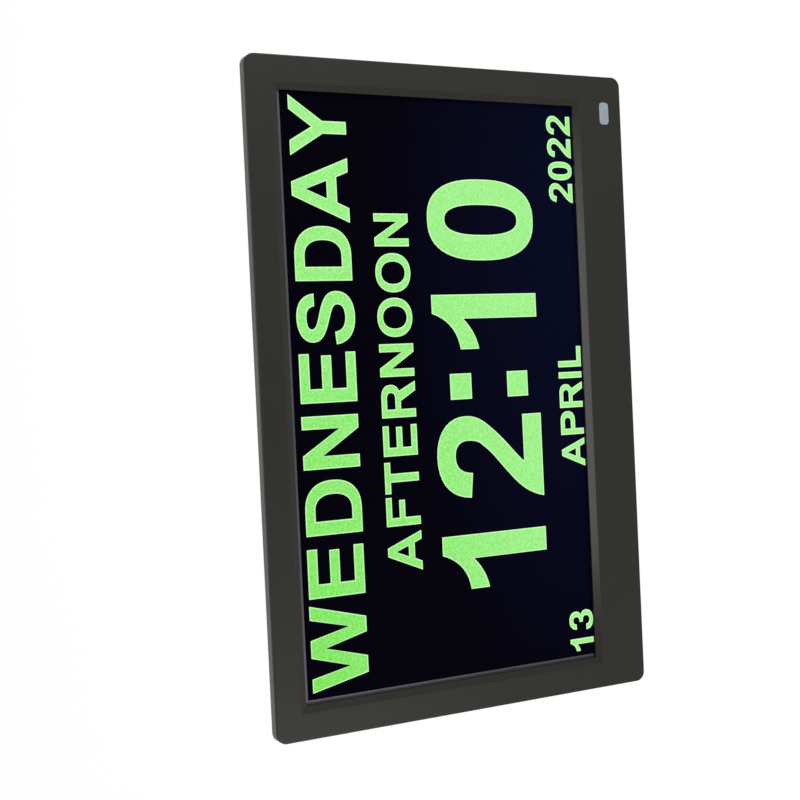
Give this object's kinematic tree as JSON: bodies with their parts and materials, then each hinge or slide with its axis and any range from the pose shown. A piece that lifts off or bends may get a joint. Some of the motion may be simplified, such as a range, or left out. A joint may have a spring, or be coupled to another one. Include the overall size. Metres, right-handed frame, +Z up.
{
  "type": "digital day clock",
  "caption": "Slim plastic day clock with a wide screen that shows the day, part of day, time and date, leaning back on a fold-out leg.",
  "frame": {"origin": "on the surface that the clock stands on, under the middle of its bounding box", "axes": "+X to the right as one faces the screen, +Y from the screen to the back, +Z up; the case leans back by 15 degrees"},
  "size_m": [0.25, 0.0728, 0.1618],
  "materials": {
    "bezel_plastic": "satin, fine grain",
    "cover_plastic": "satin, fine grain",
    "tinted_window": "polished, smoke tinted",
    "foam": "open foam",
    "frame_steel": "bright zinc",
    "panel_glass": "low-glare polariser",
    "diffuser_film": "frosted",
    "guide_acrylic": "polished edges",
    "lamp_strip": "white solder resist",
    "reflector_film": "white film",
    "tray_steel": "bright zinc",
    "circuit_board": "solder resist",
    "ribbon_film": "amber film",
    "chip_resin": "moulded resin",
    "plug_nylon": "natural nylon",
    "holder_plastic": "moulded",
    "cell_steel": "nickel plated",
    "jack_plastic": "moulded",
    "port_steel": "tin plated",
    "switch_steel": "pressed sheet",
    "receiver_resin": "dark lens",
    "wire_sleeve": "extruded sleeve",
    "speaker_basket": "moulded",
    "speaker_paper": "pressed paper",
    "magnet_steel": "zinc plated",
    "zinc_screw": "zinc plated",
    "black_screw": "black zinc",
    "foot_rubber": "moulded rubber",
    "pin_steel": "ground",
    "washer_steel": "spring steel",
    "leg_plastic": "satin, fine grain",
    "button_plastic": "satin",
    "plunger_plastic": "moulded"
  },
  "bodies": {
    "case": {"front_bezel": "bezel_plastic", "rear_cover": "cover_plastic", "ir_window": "tinted_window", "screen_gasket": "foam", "lcd_frame": "frame_steel", "lcd_panel": "panel_glass", "film_stack": "diffuser_film", "light_guide": "guide_acrylic", "led_strip": "lamp_strip", "reflector_sheet": "reflector_film", "backlight_tray": "tray_steel", "screen_pads": "foam", "driver_board": "circuit_board", "lcd_ribbon": "ribbon_film", "main_board": "circuit_board", "board_chips": "chip_resin", "connectors": "plug_nylon", "cell_holder": "holder_plastic", "backup_cell": "cell_steel", "dc_jack": "jack_plastic", "usb_port": "port_steel", "card_slot": "port_steel", "key_board": "circuit_board", "key_switches": "switch_steel", "key_ribbon": "ribbon_film", "ir_board": "circuit_board", "ir_receiver": "receiver_resin", "ir_wires": "wire_sleeve", "speaker_frame": "speaker_basket", "speaker_cone": "speaker_paper", "speaker_magnet": "magnet_steel", "speaker_wires": "wire_sleeve", "speaker_screws": "zinc_screw", "case_screws": "black_screw", "board_screws": "zinc_screw", "case_feet": "foot_rubber", "leg_pin": "pin_steel", "leg_washers": "washer_steel"},
    "leg": {"stand_leg": "leg_plastic", "leg_foot": "foot_rubber"},
    "power_key": {"power_button": "button_plastic", "power_plunger": "plunger_plastic"},
    "menu_key": {"menu_button": "button_plastic", "menu_plunger": "plunger_plastic"},
    "up_key": {"up_button": "button_plastic", "up_plunger": "plunger_plastic"},
    "down_key": {"down_button": "button_plastic", "down_plunger": "plunger_plastic"},
    "left_key": {"left_button": "button_plastic", "left_plunger": "plunger_plastic"},
    "right_key": {"right_button": "button_plastic", "right_plunger": "plunger_plastic"},
    "exit_key": {"exit_button": "button_plastic", "exit_plunger": "plunger_plastic"}
  },
  "joints": [
    {"name": "leg_hinge", "type": "hinge", "parent": "case", "child": "leg", "pos_m": [0, 0.00769, 0.09417], "axis": [1, 0, 0], "range_deg": [-30, 0]},
    {"name": "power_press", "type": "slide", "parent": "case", "child": "power_key", "axis": [0, -0.9659, 0.2588], "range_m": [0, 0.0005], "stiffness_N_per_m": 1000},
    {"name": "menu_press", "type": "slide", "parent": "case", "child": "menu_key", "axis": [0, -0.9659, 0.2588], "range_m": [0, 0.0005], "stiffness_N_per_m": 1000},
    {"name": "up_press", "type": "slide", "parent": "case", "child": "up_key", "axis": [0, -0.9659, 0.2588], "range_m": [0, 0.0005], "stiffness_N_per_m": 1000},
    {"name": "down_press", "type": "slide", "parent": "case", "child": "down_key", "axis": [0, -0.9659, 0.2588], "range_m": [0, 0.0005], "stiffness_N_per_m": 1000},
    {"name": "left_press", "type": "slide", "parent": "case", "child": "left_key", "axis": [0, -0.9659, 0.2588], "range_m": [0, 0.0005], "stiffness_N_per_m": 1000},
    {"name": "right_press", "type": "slide", "parent": "case", "child": "right_key", "axis": [0, -0.9659, 0.2588], "range_m": [0, 0.0005], "stiffness_N_per_m": 1000},
    {"name": "exit_press", "type": "slide", "parent": "case", "child": "exit_key", "axis": [0, -0.9659, 0.2588], "range_m": [0, 0.0005], "stiffness_N_per_m": 1000}
  ]
}
